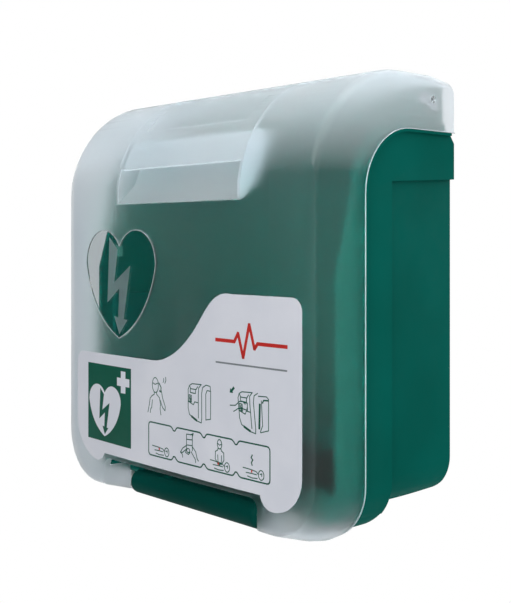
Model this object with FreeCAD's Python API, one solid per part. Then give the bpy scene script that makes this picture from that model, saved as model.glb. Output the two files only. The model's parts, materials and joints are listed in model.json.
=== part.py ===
import FreeCAD, Part
import math
import os

# Wall cabinet for a defibrillator: a moulded base that hangs on the wall and a translucent domed
# cover that tilts forward about two pivots low down behind its chin.
#
# Everything is drawn with X across (positive to the right, seen from the front), Y counted back
# from the front of the cover and Z up from the foot of its front. place() then moves each piece so
# that the origin is the centre of the wall screw pattern, on the back plane.

Vector = FreeCAD.Vector

# Cover
WIDTH = 388.0
HEIGHT = 423.5
DEPTH = 201.0
WALL = 3.0
HALF = WIDTH / 2
CROWN = 3.9                      # how far the front's sides stand behind its middle
CROWN_R = HALF ** 2 / (2 * CROWN)
EDGE_R = 8.0                     # rounding between the front and the sides
DOME_R = 118.0
DOME_Z = HEIGHT - DOME_R
EAR_FLAT_Y = 165.0               # the top is level up to here, then falls a little
EAR_FALL = 3.9
EAR_CORNER_R = 13.0
EAR_Z = 370.0                    # lower edge of the ears
TOP_REAR_Y = 194.0               # rear edge of the top between the ears
RIM_Y = 68.0                     # rear edge of the side walls
RIM_ARC_R = 63.0
RIM_ARC_Z = EAR_Z - RIM_ARC_R
CHIN_FOOT = ((0.0, 3.6), (40.0, -8.4), (54.0, -10.8), (RIM_Y, -9.5), (DEPTH + 30, -9.5))
CHIN_CORNER_R = 54.0             # lower corners, seen from the front
NOTCH_HALF = 122.0               # opening in the chin for the lower bar
NOTCH_Z = 32.0
NOTCH_R = 10.0
NOTCH_RETURN = 9.0               # how far the notch's top edge reaches back
CHEEK_Y = 35.0                   # and its side walls

# Handle insert
HANDLE_HALF = 99.0
SEAM = 0.3
HANDLE_Z = 303.0                 # lower edge of the finger pocket
LIP_ANGLE = 17.0                 # grip bar, as angles up the dome's curve
BAR_TOP_ANGLE = 39.0
BAR_WALL = 4.0
POCKET_WALL = 3.0
POCKET_CREASE = (22.0, 324.0)
POCKET_BACK_R = 98.0
POCKET_BACK_ANGLE = 36.0
POCKET_ROOF_ANGLE = 33.0
THUMB_HALF = 80.0                # shallow thumb recess above the bar
THUMB_R = 106.0
THUMB_SHIFT = 12.2
THUMB_SHIFT_ANGLE = 110.0

# Heart window and label on the front
HEART_X = -94.0
HEART_TIP_Z = 162.0
HEART_TOP_Z = 276.0
HEART_CLEFT_Z = 259.0
HEART_HALF = 65.0
HEART_WIDE_Z = 240.0
LABEL_THICK = 0.3
LABEL_RIGHT = 178.0
LABEL_LEFT = -178.0
LABEL_STEP_Z = 143.0
LABEL_TOP_Z = 215.5
LABEL_LOW_Z = 36.5

# Base
BACK_Y = DEPTH
BASE_WALL = 3.0
FLANGE_HALF = 187.0              # inside the cover's side walls
BAND_HALF = 190.0                # proud band behind the cover's rim
SIDE_HALF = 185.0                # recessed sides
LIP_HALF = 193.5
LIP_WIDE = 2.6
LIP_END = 8.0                    # the lip stops this far before the wall
RIM_GAP = 0.5
BAND_REAR_Y = 108.0
SIDE_TOP_Z = 320.0
SIDE_CHAMFER = 5.0
FLANGE_ARC_R = 72.0
FLANGE_Y = 39.0
FLANGE_BEND_Z = 235.0
SILL_Z = 40.0                    # the open front starts above this
OPEN_Y = 66.0                    # and cuts this deep, then slants back under the dome
OPEN_REAR_Y = 150.0
SILL_CHAMFER = 4.0
FLOOR_Z = 10.5                   # underside over the hinge
DROP_Y = 76.0                    # behind the hinge the band hangs down to cover it
DROP_Z = -2.0
STEP_Y = 102.0                   # foot of the step up to the recessed underside
STEP_RISE = ((106.0, 11.0), (196.0, 20.5))
BASE_CORNER_R = 8.0
BAND_CORNER = (140.0, 44.5)      # centre of the rounded corners behind the chin, in X and Z
SIDE_CORNER = (145.0, 53.0)      # and further back
HEAD_FRONT_Y = 163.0
HEAD_TOP_Z = 414.5
HEAD_REAR_Y = 190.0
HEAD_FILLET = 20.0
HEAD_HALF = 184.0
SCREW_SPAN_X = 250.0             # wall screw pattern
SCREW_SPAN_Z = 240.0
SCREW_HOLE_R = 3.2
SCREW_CENTRE_Z = 225.0

# Lower bar and hinge
AXIS = (60.0, 1.0)               # hinge axis, along X
BAR_AT = (30.0, 7.0)
BAR_HALF = 100.0
BAR_R = 12.6
BAR_END_R = 6.0
BAR_WEB_HALF = 94.0
BAR_WEB = (13.0, 19.0)
ARM_X = 128.0
ARM_WIDE = 10.0
ARM_HUB_R = 5.5
ARM_PAD_Y = (51.0, 66.5)
ARM_SCREW_LONG = 8.0
PIN_R = 2.5
PIN_OUT = 11.0
PIN_IN = 8.0
BUSH_R = 4.5
BOSS_R = 6.5
BOSS_WIDE = 13.0
RUNNING = 0.05
BODY_GAP = 0.5

# Snaps at the ears
SNAP = (164.0, 400.0)
STUD_R = 3.8
STUD_REACH = 8.3
STUD_ROUND = 1.2
CLIP_THICK = 1.2
CLIP_LONG = 14.0
CLIP_TAIL = 12.0
CLIP_GAP = 0.35
CLIP_WIDE = 5.2
CLIP_SCREW_LONG = 5.0
SCREW_R = 1.5
SCREW_HEAD_R = 2.8
SCREW_HEAD = 1.8
SCREW_SLOT = (0.7, 0.8)          # width and depth of the driver slot

# Inside
TRAY_HALF = 181.5
TRAY_WALL = 3.0
TRAY_CHEEK = 6.5
TRAY_FRONT_Y = 54.0
TRAY_REAR_Y = 186.0
TRAY_FLOOR_Z = 78.0
TRAY_TOP_Z = 204.0
TRAY_LIP = 14.0
TRAY_CORNER_R = 12.0
TRAY_SCREW_AT = ((80.0, 110.0), (160.0, 110.0))
TRAY_SCREW_LONG = 8.5
ALARM_SCREW_IN = 2.1             # how deep the alarm's screws reach into the tray's floor
ALARM_HALF = 45.0
ALARM_DEEP = 58.0
ALARM_HIGH = 24.0
ALARM_CENTRE = (-70.0, 120.0)
ALARM_WALL = 2.0
ALARM_LID = 2.0
BOARD_THICK = 1.6
BOARD_DROP = 4.0                 # how far the board hangs below the case's top
CELL_R = 7.2
CELL_LONG = 50.0
CELL_GAP = 1.0
SOUNDER_R = 12.0
SOUNDER_HIGH = 8.0
SOUNDER_X = 23.0                 # from the middle of the alarm
SOUNDER_MOUTH_R = 2.0
VENT_LONG = 22.0                 # slots in the lid below the sounder
VENT_WIDE = 2.0
VENT_PITCH = 5.0
LENS_R = 2.5
LENS_OUT = 2.0
REED = (3.0, 10.0, 13.0)
REED_AT = (61.0, 253.0)
MAGNET_R = 4.0
MAGNET_THICK = 2.4


def polar(centre, radius, degrees):
    """Point in the YZ plane; 180 degrees faces the front and 90 is up."""
    turn = math.radians(degrees)
    return (centre[0] + radius * math.cos(turn), centre[1] + radius * math.sin(turn))


def outline(start, steps, x):
    """Closed YZ wire. A step is a point, or a pair (middle, end) for an arc."""
    def corner(point):
        return Vector(x, point[0], point[1])

    edges = []
    here = start
    for step in list(steps) + [start]:
        if isinstance(step[0], tuple):
            middle, end = step
            edges.append(Part.Arc(corner(here), corner(middle), corner(end)).toShape())
        else:
            end = step
            if math.dist(here, end) > 1e-6:
                edges.append(Part.LineSegment(corner(here), corner(end)).toShape())
        here = end
    return Part.Wire(edges)


def slab(start, steps, half, grow=0.0):
    """YZ outline pulled across X from -half to half, or the same grown all round."""
    wire = outline(start, steps, -half)
    if grow:
        wire = wire.makeOffset2D(grow)
        half += grow
        wire.translate(Vector(-grow, 0, 0))
    return Part.Face(wire).extrude(Vector(2 * half, 0, 0))


def box(x, y, z):
    """Box between pairs of limits."""
    return Part.makeBox(x[1] - x[0], y[1] - y[0], z[1] - z[0], Vector(x[0], y[0], z[0]))


def rod_x(radius, x_low, x_high, centre):
    return Part.makeCylinder(radius, x_high - x_low, Vector(x_low, *centre), Vector(1, 0, 0))


def rod_y(radius, y_low, y_high, x, z):
    return Part.makeCylinder(radius, y_high - y_low, Vector(x, y_low, z), Vector(0, 1, 0))


def mirrored(shape):
    return shape.mirror(Vector(0, 0, 0), Vector(1, 0, 0))


def pair(shape):
    """The piece and its twin on the other side, as separate solids."""
    return Part.makeCompound([shape, mirrored(shape)])


def join(first, *others):
    return first.fuse(list(others)).removeSplitter()


def crowned(shape, inset):
    """Cuts the front back to the crowned face, or to one inset behind it."""
    drum = Part.makeCylinder(CROWN_R - inset, HEIGHT + 40, Vector(0, CROWN_R, -20))
    return shape.common(drum)


def dome_steps(inset):
    """Front, dome and top of the cover's side view, inset all round."""
    centre = (DOME_R, DOME_Z)
    radius = DOME_R - inset
    fall_y = DEPTH - EAR_CORNER_R
    return [
        (inset, DOME_Z),
        (polar(centre, radius, 135), (DOME_R, HEIGHT - inset)),
        (EAR_FLAT_Y, HEIGHT - inset),
        (fall_y, HEIGHT - EAR_FALL - inset),
    ]


def chin_form(inset):
    """The cover's sides and bottom, pulled from front to back; the bottom follows CHIN_FOOT."""
    half = HALF - inset
    radius = CHIN_CORNER_R - inset
    side_x = half - radius
    lean = radius * math.sqrt(0.5)
    wires = []
    for y, z in CHIN_FOOT:
        low = z + inset
        edges = []
        for side in (1, -1):
            tangents = (Vector(side * half, y, low + radius), Vector(side * side_x, y, low))
            middle = Vector(side * (side_x + lean), y, low + radius - lean)
            edges.append(Part.Arc(tangents[0], middle, tangents[1]).toShape())
            top = Vector(side * half, y, HEIGHT + 2)
            edges.append(Part.LineSegment(tangents[0], top).toShape())
        edges.append(Part.LineSegment(Vector(side_x, y, low), Vector(-side_x, y, low)).toShape())
        top_y = Vector(0, y, HEIGHT + 2)
        across = Vector(half, 0, 0)
        edges.append(Part.LineSegment(top_y + across, top_y - across).toShape())
        wires.append(Part.Wire(Part.__sortEdges__(edges)))
    return Part.makeLoft(wires, True, True)


def rim_steps(shift, foot_z):
    """The cover's rear rim from the ears down to foot_z; a positive shift moves it back."""
    centre = (RIM_Y + RIM_ARC_R, RIM_ARC_Z)
    radius = RIM_ARC_R - shift
    return [
        (centre[0], EAR_Z - shift),
        (polar(centre, radius, 135), (RIM_Y + shift, RIM_ARC_Z)),
        (RIM_Y + shift, foot_z),
    ]


def soften(shape, inset):
    """Rounds the edge where the front and the dome meet the sides and the bottom."""
    def is_outer(edge):
        bounds = edge.BoundBox
        if bounds.YMax < inset + 1e-3:
            return bounds.ZMin < DOME_Z - 1
        middle = edge.valueAt((edge.FirstParameter + edge.LastParameter) / 2)
        on_dome = math.dist((middle.y, middle.z), (DOME_R, DOME_Z)) > DOME_R - inset - 1
        return bounds.XLength < 1e-3 and middle.z > DOME_Z + 60 and on_dome

    return shape.makeFillet(EDGE_R - inset, [edge for edge in shape.Edges if is_outer(edge)])


def cover_outside():
    ear_corner = (DEPTH - EAR_CORNER_R, HEIGHT - EAR_FALL - EAR_CORNER_R)
    steps = dome_steps(0)
    steps.append((polar(ear_corner, EAR_CORNER_R, 45), (DEPTH, ear_corner[1])))
    steps.append((DEPTH, EAR_Z))
    steps += rim_steps(0, -20) + [(0, -20)]
    block = slab((0, DOME_Z), steps, WIDTH)
    return crowned(soften(block.common(chin_form(0)), 0), 0)


def cover_inside():
    far = DEPTH + 20
    steps = dome_steps(WALL) + [(far, HEIGHT - EAR_FALL - WALL - 4), (far, -20), (WALL, -20)]
    block = slab((WALL, DOME_Z), steps, WIDTH)
    return crowned(soften(block.common(chin_form(WALL)), WALL), WALL)


def pocket_air(grow):
    """The finger pocket's hollow, behind the grip bar, or the same grown by a wall's thickness."""
    centre = (DOME_R, DOME_Z)
    bar_in = DOME_R - BAR_WALL
    lip = 180 - LIP_ANGLE
    steps = [
        (0, HANDLE_Z),
        POCKET_CREASE,
        polar(centre, POCKET_BACK_R, 180 - POCKET_BACK_ANGLE),
        polar(centre, bar_in, 180 - POCKET_ROOF_ANGLE),
        (polar(centre, bar_in, 180 - (POCKET_ROOF_ANGLE + LIP_ANGLE) / 2), polar(centre, bar_in, lip)),
        polar(centre, DOME_R + 10, lip),
    ]
    return slab((-10, HANDLE_Z), steps, HANDLE_HALF - SEAM - POCKET_WALL, grow)


def thumb_air(grow):
    """The shallow recess over the grip bar that fades out towards the back."""
    centre = (DOME_R, DOME_Z)
    floor_centre = polar(centre, THUMB_SHIFT, THUMB_SHIFT_ANGLE)
    low = 180 - BAR_TOP_ANGLE
    reach = DOME_R + 20
    steps = [
        polar(floor_centre, THUMB_R, low + 3),
        (polar(floor_centre, THUMB_R, 115), polar(floor_centre, THUMB_R, 88)),
        polar(centre, reach, 82),
        polar(centre, reach, 115),
    ]
    return slab(polar(centre, reach, low), steps, THUMB_HALF, grow)


def handle_room(gap):
    """Everything on the cover between the handle's seams, above the pocket's lower edge."""
    half = HANDLE_HALF - gap
    return box((-half, half), (-20, TOP_REAR_Y + 1), (HANDLE_Z + gap, HEIGHT + 20))


def heart_outline():
    """Heart in the XZ plane: two round lobes over a point, as a closed wire at Y = 0."""
    def at(x, z):
        return Vector(HEART_X + x, 0, z)

    def half(side):
        wide = at(side * HEART_HALF, HEART_WIDE_Z)
        flank = at(side * HEART_HALF * 0.72, HEART_WIDE_Z - 42)
        lobe = at(side * HEART_HALF / 2, HEART_TOP_Z)
        return (
            Part.Arc(at(0, HEART_TIP_Z), flank, wide).toShape(),
            Part.Arc(wide, lobe, at(0, HEART_CLEFT_Z)).toShape(),
        )

    right, left = half(1), half(-1)
    return Part.Wire([right[0], right[1], left[1], left[0]])


def heart_prism(grow):
    """The heart pulled through the front, or the same a little larger."""
    wire = heart_outline()
    if grow:
        wire = wire.makeOffset2D(grow)
    face = Part.Face(wire)
    face.translate(Vector(0, -10, 0))
    return face.extrude(Vector(0, 30, 0))


def notch_air():
    """The opening in the chin for the lower bar, round cornered at its top."""
    block = box((-NOTCH_HALF, NOTCH_HALF), (-20, RIM_Y + 20), (-30, NOTCH_Z))
    tops = [
        edge for edge in block.Edges
        if edge.BoundBox.YLength > 1 and edge.BoundBox.ZMin > NOTCH_Z - 1e-3
    ]
    return block.makeFillet(NOTCH_R, tops)


def notch_walls():
    """Walls round the notch, reaching back from its edge."""
    half = NOTCH_HALF + WALL
    frame = box((-half, half), (0, NOTCH_RETURN), (0, NOTCH_Z + WALL))
    cheeks = box((-half, half), (0, CHEEK_Y), (-20, NOTCH_Z - NOTCH_R))
    return join(frame, cheeks)


def hinge_bosses():
    """Blocks on the chin's bottom that carry the bushes."""
    x_low = ARM_X + ARM_WIDE + BODY_GAP
    x_high = x_low + BOSS_WIDE
    y_span = (AXIS[0] - BOSS_R, AXIS[0] + BOSS_R)
    foot = box((x_low, x_high), y_span, (-20, AXIS[1]))
    return pair(join(rod_x(BOSS_R, x_low, x_high, AXIS), foot))


def cover_shell():
    outside = cover_outside()
    inside = cover_inside()
    shell = outside.cut(inside)
    shell = shell.cut(box((-HALF + WALL, HALF - WALL), (TOP_REAR_Y, DEPTH + 10), (0, HEIGHT + 10)))
    shell = shell.fuse([notch_walls().common(outside)])
    shell = shell.cut(notch_air())
    shell = shell.fuse([hinge_bosses().common(outside)])
    shell = shell.cut(handle_room(0))
    shell = shell.cut(heart_prism(0))
    shell = shell.cut(pair(bush_hole()))
    shell = shell.cut(pair(rod_x(STUD_R, HALF - WALL - 1, HALF + 1, SNAP)))
    return shell.removeSplitter()


def bush_hole():
    x_low = ARM_X + ARM_WIDE + BODY_GAP
    return rod_x(BUSH_R, x_low - 1, x_low + BOSS_WIDE - 1.5, AXIS)


def handle_insert():
    outside = cover_outside()
    skin = outside.cut(cover_inside())
    walls = join(pocket_air(POCKET_WALL), thumb_air(POCKET_WALL)).common(outside)
    rear = box((-HALF, HALF), (TOP_REAR_Y, DEPTH + 10), (0, HEIGHT + 10))
    insert = skin.fuse([walls]).common(handle_room(SEAM)).cut(rear)
    insert = insert.cut(pocket_air(0)).cut(thumb_air(0))
    solids = sorted(insert.Solids, key=lambda solid: solid.Volume)
    return solids[-1].removeSplitter()


def heart_window():
    room = box((-HALF, HALF), (-5, 20), (HEART_TIP_Z - 10, HEART_TOP_Z + 10))
    skin = crowned(room, 0).cut(crowned(room, WALL))
    return skin.common(heart_prism(-SEAM)).Solids[0]


def cover_label():
    """White vinyl label on the cover's front; its top edge steps up to the right."""
    def at(x, z):
        return Vector(x, 0, z)

    corners = [
        (at(LABEL_LEFT + 14, LABEL_STEP_Z), None),
        (at(-30, LABEL_STEP_Z + 1), None),
        (at(88, LABEL_TOP_Z), (at(-14, 147), at(38, 184), at(66, 212))),
        (at(LABEL_RIGHT - 12, LABEL_TOP_Z), None),
        (at(LABEL_RIGHT, LABEL_TOP_Z - 12), at(LABEL_RIGHT - 3.5, LABEL_TOP_Z - 3.5)),
        (at(LABEL_RIGHT, 58), None),
        (at(141, 24), at(166, 33)),
        (at(126, LABEL_LOW_Z), at(131, 28)),
        (at(-122, LABEL_LOW_Z), None),
        (at(-134, 27), at(-126.5, 31)),
        (at(LABEL_LEFT, 70), at(-165, 41)),
        (at(LABEL_LEFT, LABEL_STEP_Z - 14), None),
        (at(LABEL_LEFT + 14, LABEL_STEP_Z), at(LABEL_LEFT + 4, LABEL_STEP_Z - 4)),
    ]
    edges = []
    here = corners[0][0]
    for end, bend in corners[1:]:
        if bend is None:
            edges.append(Part.LineSegment(here, end).toShape())
        elif isinstance(bend, tuple):
            curve = Part.BSplineCurve()
            curve.interpolate([here] + list(bend) + [end])
            edges.append(curve.toShape())
        else:
            edges.append(Part.Arc(here, bend, end).toShape())
        here = end
    face = Part.Face(Part.Wire(edges))
    face.translate(Vector(0, -10, 0))
    prism = face.extrude(Vector(0, 50, 0))
    raised = cover_front_skin(-LABEL_THICK).cut(cover_front_skin(0))
    return prism.common(raised)


def cover_front_skin(inset):
    """The front as a block, for pieces that follow its surface."""
    return crowned(box((-HALF, HALF), (-5, 60), (0, DOME_Z)), inset)


def base_outline(inset):
    """Side view of the base's box with its head, inset all round."""
    arc_centre = (RIM_Y + RIM_ARC_R, RIM_ARC_Z)
    arc_r = FLANGE_ARC_R - inset
    front = FLANGE_Y + inset
    floor = FLOOR_Z + inset
    foot, heel = [(y, z + inset) for y, z in STEP_RISE]
    back = BACK_Y - inset
    corner = (back - BASE_CORNER_R, heel[1] + BASE_CORNER_R)
    shelf_z = arc_centre[1] + arc_r
    head_front = HEAD_FRONT_Y + inset
    fillet_centre = (head_front - HEAD_FILLET, shelf_z + HEAD_FILLET)
    return (front + SILL_CHAMFER, floor), [
        (DROP_Y + inset, floor),
        (DROP_Y + inset, DROP_Z + inset),
        (STEP_Y, DROP_Z + inset),
        foot,
        (corner[0], heel[1]),
        (polar(corner, BASE_CORNER_R, -45), (back, corner[1])),
        (back, EAR_Z - 10),
        (HEAD_REAR_Y - inset, EAR_Z + 4),
        (HEAD_REAR_Y - inset, HEAD_TOP_Z - inset),
        (head_front, HEAD_TOP_Z - inset),
        (head_front, fillet_centre[1]),
        (polar(fillet_centre, HEAD_FILLET, -45), (fillet_centre[0], shelf_z)),
        (arc_centre[0], shelf_z),
        (polar(arc_centre, arc_r, 135), (arc_centre[0] - arc_r, arc_centre[1])),
        (front, FLANGE_BEND_Z),
        (front, floor + SILL_CHAMFER),
    ]


def behind_rim(gap):
    """Everything behind the cover's rim, with a gap to it."""
    far = DEPTH + 20
    return slab((far, EAR_Z - gap), rim_steps(gap, -30) + [(far, -30)], HALF)


def front_form(half, corner):
    """Front view pulled back through everything, its lower corners round about the given centre."""
    radius = half - corner[0]
    block = box((-half, half), (-5, DEPTH + 5), (corner[1] - radius, HEIGHT + 5))
    low = [
        edge for edge in block.Edges
        if edge.BoundBox.YLength > 1 and edge.BoundBox.ZMax < corner[1]
    ]
    return block.makeFillet(radius, low)


def recess(half, front_y):
    """What is cut away from the sides and the underside behind front_y."""
    rear = slab((front_y, -30), [
        (DEPTH + 1, -30), (DEPTH + 1, SIDE_TOP_Z + SIDE_CHAMFER), (front_y, SIDE_TOP_Z),
    ], HALF)
    return rear.cut(front_form(half, SIDE_CORNER))


def base_shell():
    start, steps = base_outline(0)
    block = slab(start, steps, HALF)
    rear = behind_rim(RIM_GAP)
    below_head = box((-HALF, HALF), (0, DEPTH), (-30, EAR_Z + 9))
    core = block.common(front_form(FLANGE_HALF, BAND_CORNER)).common(below_head)
    band = block.common(front_form(BAND_HALF, BAND_CORNER)).common(rear)
    lip = block.common(front_form(LIP_HALF, BAND_CORNER)).common(rear)
    lip = lip.cut(behind_rim(RIM_GAP + LIP_WIDE))
    lip = lip.cut(box((-HALF, HALF), (DEPTH - LIP_END, DEPTH + 1), (0, HEIGHT)))
    head = block.common(box((-HEAD_HALF, HEAD_HALF), (0, DEPTH), (EAR_Z, HEIGHT)))
    shell = join(core, band, lip, head)
    start, steps = base_outline(BASE_WALL)
    half = SIDE_HALF - BASE_WALL
    cavity = slab(start, steps, half).common(front_form(half, BAND_CORNER))
    cavity = cavity.cut(recess(half, BAND_REAR_Y - BASE_WALL))
    open_front = slab((FLANGE_Y - 5, SILL_Z), [
        (OPEN_Y, SILL_Z), (OPEN_Y, RIM_ARC_Z), (OPEN_REAR_Y, EAR_Z), (OPEN_REAR_Y, EAR_Z + 20),
        (FLANGE_Y - 5, EAR_Z + 20),
    ], half)
    shell = shell.cut(recess(SIDE_HALF, BAND_REAR_Y)).cut(cavity).cut(open_front)
    for x in (-SCREW_SPAN_X / 2, SCREW_SPAN_X / 2):
        for z in (SCREW_CENTRE_Z - SCREW_SPAN_Z / 2, SCREW_CENTRE_Z + SCREW_SPAN_Z / 2):
            shell = shell.cut(rod_y(SCREW_HOLE_R, DEPTH - 20, DEPTH + 1, x, z))
    for screws in (arm_screws(0), tray_screws(0), clip_screws(0)):
        shell = shell.cut(screws)
    return max(shell.Solids, key=lambda solid: solid.Volume).removeSplitter()


def screw(long, slot_depth):
    """Pan-head screw standing on the XY plane, its shank down Z and its head up."""
    shank = Part.makeCylinder(SCREW_R, long, Vector(0, 0, -long))
    head = Part.makeCylinder(SCREW_HEAD_R, SCREW_HEAD)
    head = head.makeFillet(SCREW_HEAD * 0.45, [head.Edges[0]])
    body = join(shank, head)
    if slot_depth:
        wide = SCREW_SLOT[0] / 2
        top = (SCREW_HEAD - slot_depth, SCREW_HEAD + 1)
        body = body.cut(box((-wide, wide), (-SCREW_HEAD_R, SCREW_HEAD_R), top))
    return body


def arm_screws(slot_depth=SCREW_SLOT[1]):
    piece = screw(ARM_SCREW_LONG, slot_depth)
    piece.translate(Vector(ARM_X + ARM_WIDE / 2, AXIS[0], FLOOR_Z + BASE_WALL))
    return pair(piece)


def tray_screws(slot_depth=SCREW_SLOT[1]):
    pieces = []
    for y, z in TRAY_SCREW_AT:
        piece = screw(TRAY_SCREW_LONG, slot_depth)
        piece.rotate(Vector(0, 0, 0), Vector(0, 1, 0), -90)
        piece.translate(Vector(TRAY_HALF - TRAY_CHEEK, y, z))
        pieces += [piece, mirrored(piece)]
    return Part.makeCompound(pieces)


def snap_turn():
    """How far the snaps' way out is tipped up from straight forward."""
    return math.degrees(math.atan2(SNAP[0] - AXIS[0], SNAP[1] - AXIS[1]))


def tipped(shape):
    shape.rotate(Vector(0, *SNAP), Vector(1, 0, 0), -snap_turn())
    return shape


def clip_screws(slot_depth=SCREW_SLOT[1]):
    piece = screw(CLIP_SCREW_LONG, slot_depth)
    piece.rotate(Vector(0, 0, 0), Vector(0, 1, 0), 90)
    piece.translate(Vector(HEAD_HALF + CLIP_THICK, SNAP[0] + CLIP_TAIL + 1.5, SNAP[1]))
    return pair(tipped(piece))


def lower_bar():
    bar = rod_x(BAR_R, -BAR_HALF, BAR_HALF, BAR_AT)
    bar = bar.makeFillet(BAR_END_R, [bar.Edges[0], bar.Edges[2]])
    web = box((-BAR_WEB_HALF, BAR_WEB_HALF), (BAR_AT[0], FLANGE_Y + BASE_WALL), BAR_WEB)
    bar = join(bar, web).cut(base_shell())
    return max(bar.Solids, key=lambda solid: solid.Volume)


def hinge_arms():
    """Lugs that hang from the base's floor and carry the pins."""
    y, z = AXIS
    steps = [
        (ARM_PAD_Y[1], FLOOR_Z),
        (ARM_PAD_Y[1], FLOOR_Z - 2),
        (y + ARM_HUB_R, z),
        ((y, z - ARM_HUB_R), (y - ARM_HUB_R, z)),
        (ARM_PAD_Y[0], FLOOR_Z - 2),
    ]
    x_face = ARM_X + ARM_WIDE
    arm = slab((ARM_PAD_Y[0], FLOOR_Z), steps, ARM_WIDE / 2)
    arm.translate(Vector(ARM_X + ARM_WIDE / 2, 0, 0))
    arm = arm.cut(rod_x(PIN_R, x_face - PIN_IN, x_face + 1, AXIS))
    return pair(arm.cut(arm_screws(0)).Solids[0])


def hinge_pins():
    x_face = ARM_X + ARM_WIDE
    return pair(rod_x(PIN_R, x_face - PIN_IN, x_face + PIN_OUT, AXIS))


def hinge_bushes():
    x_low = ARM_X + ARM_WIDE + BODY_GAP
    x_high = x_low + BOSS_WIDE - 1.5
    bush = rod_x(BUSH_R, x_low, x_high, AXIS)
    return pair(bush.cut(rod_x(PIN_R + RUNNING, x_low - 1, x_high + 1, AXIS)))


def snap_studs():
    stud = rod_x(STUD_R, HALF - STUD_REACH, HALF - 0.2, SNAP)
    ends = [edge for edge in stud.Edges if edge.BoundBox.XLength < 1e-3]
    return pair(stud.makeFillet(STUD_ROUND, ends))


def snap_clips():
    """Spring clips on the head's sides; their prongs lie along the studs' way out."""
    y0, z0 = SNAP
    reach = STUD_R + CLIP_GAP
    rear = y0 + STUD_R + CLIP_GAP
    x_low = HEAD_HALF
    x_high = HEAD_HALF + CLIP_WIDE
    tab = box((x_low, x_low + CLIP_THICK), (rear - CLIP_LONG, y0 + CLIP_TAIL + 5),
              (z0 - reach - CLIP_THICK, z0 + reach + CLIP_THICK))
    prongs = [
        box((x_low, x_high), (rear - CLIP_LONG, rear + CLIP_THICK),
            sorted((z0 + side * reach, z0 + side * (reach + CLIP_THICK))))
        for side in (-1, 1)
    ]
    heel = box((x_low, x_high), (rear, rear + CLIP_THICK), (z0 - reach, z0 + reach))
    clip = tipped(join(tab, heel, *prongs))
    return pair(clip.cut(clip_screws(0)))


def device_tray():
    """Liner the defibrillator stands in: a floor with a front lip between two side cheeks."""
    y_span = (TRAY_FRONT_Y, TRAY_REAR_Y)
    cheek = box((TRAY_HALF - TRAY_CHEEK, TRAY_HALF), y_span, (TRAY_FLOOR_Z, TRAY_TOP_Z))
    top_front = [
        edge for edge in cheek.Edges
        if edge.BoundBox.XLength > 1 and edge.BoundBox.YMax < TRAY_FRONT_Y + 1
        and edge.BoundBox.ZMin > TRAY_TOP_Z - 1
    ]
    cheek = cheek.makeChamfer(TRAY_CORNER_R / 4, top_front)
    floor = box((-TRAY_HALF, TRAY_HALF), y_span, (TRAY_FLOOR_Z, TRAY_FLOOR_Z + TRAY_WALL))
    lip = box((-TRAY_HALF, TRAY_HALF), (TRAY_FRONT_Y, TRAY_FRONT_Y + TRAY_WALL),
              (TRAY_FLOOR_Z, TRAY_FLOOR_Z + TRAY_LIP))
    tray = join(floor, lip, cheek, mirrored(cheek))
    return tray.cut(tray_screws(0)).cut(alarm_screws(0))


def alarm_box(inset, z_low, z_high):
    x, y = ALARM_CENTRE
    half = ALARM_HALF - inset
    deep = ALARM_DEEP / 2 - inset
    return box((x - half, x + half), (y - deep, y + deep), (z_low, z_high))


def alarm_case():
    low = TRAY_FLOOR_Z - ALARM_HIGH + ALARM_LID
    case = alarm_box(0, low, TRAY_FLOOR_Z)
    upright = [edge for edge in case.Edges if edge.BoundBox.ZLength > 1]
    case = case.makeFillet(4, upright)
    case = case.cut(alarm_box(ALARM_WALL, low - 1, TRAY_FLOOR_Z - ALARM_WALL))
    case = case.cut(alarm_lens(LENS_R))
    for spot in alarm_screw_spots():
        post = Part.makeCylinder(SCREW_HEAD_R + 0.8, ALARM_HIGH - ALARM_LID, Vector(*spot, low))
        case = case.fuse([post])
    return case.cut(alarm_screws(0)).removeSplitter()


def alarm_screw_spots():
    x, y = ALARM_CENTRE
    across = ALARM_HALF - 6
    back = ALARM_DEEP / 2 - 6
    return [(x + sx * across, y + sy * back) for sx in (-1, 1) for sy in (-1, 1)]


def alarm_screws(slot_depth=SCREW_SLOT[1]):
    """Long screws from below, through lid and case into the tray's floor."""
    pieces = []
    for x, y in alarm_screw_spots():
        piece = screw(ALARM_HIGH + ALARM_SCREW_IN, slot_depth)
        piece.rotate(Vector(0, 0, 0), Vector(1, 0, 0), 180)
        piece.translate(Vector(x, y, TRAY_FLOOR_Z - ALARM_HIGH))
        pieces.append(piece)
    return Part.makeCompound(pieces)


def alarm_lid():
    low = TRAY_FLOOR_Z - ALARM_HIGH
    lid = alarm_box(0, low, low + ALARM_LID)
    upright = [edge for edge in lid.Edges if abs(edge.BoundBox.ZLength - ALARM_LID) < 1e-3]
    lid = lid.makeFillet(4, upright).cut(alarm_screws(0))
    x, y = ALARM_CENTRE
    x_span = (x + SOUNDER_X - VENT_LONG / 2, x + SOUNDER_X + VENT_LONG / 2)
    for row in range(-2, 3):
        middle = y + row * VENT_PITCH
        y_span = (middle - VENT_WIDE / 2, middle + VENT_WIDE / 2)
        lid = lid.cut(box(x_span, y_span, (low - 1, low + ALARM_LID + 1)))
    return lid


def alarm_board():
    top = TRAY_FLOOR_Z - BOARD_DROP
    board = alarm_box(ALARM_WALL + 0.5, top - BOARD_THICK, top)
    for spot in alarm_screw_spots():
        foot = Vector(*spot, top - BOARD_THICK - 1)
        board = board.cut(Part.makeCylinder(SCREW_HEAD_R + 1.1, BOARD_THICK + 2, foot))
    return max(board.Solids, key=lambda solid: solid.Volume)


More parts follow.
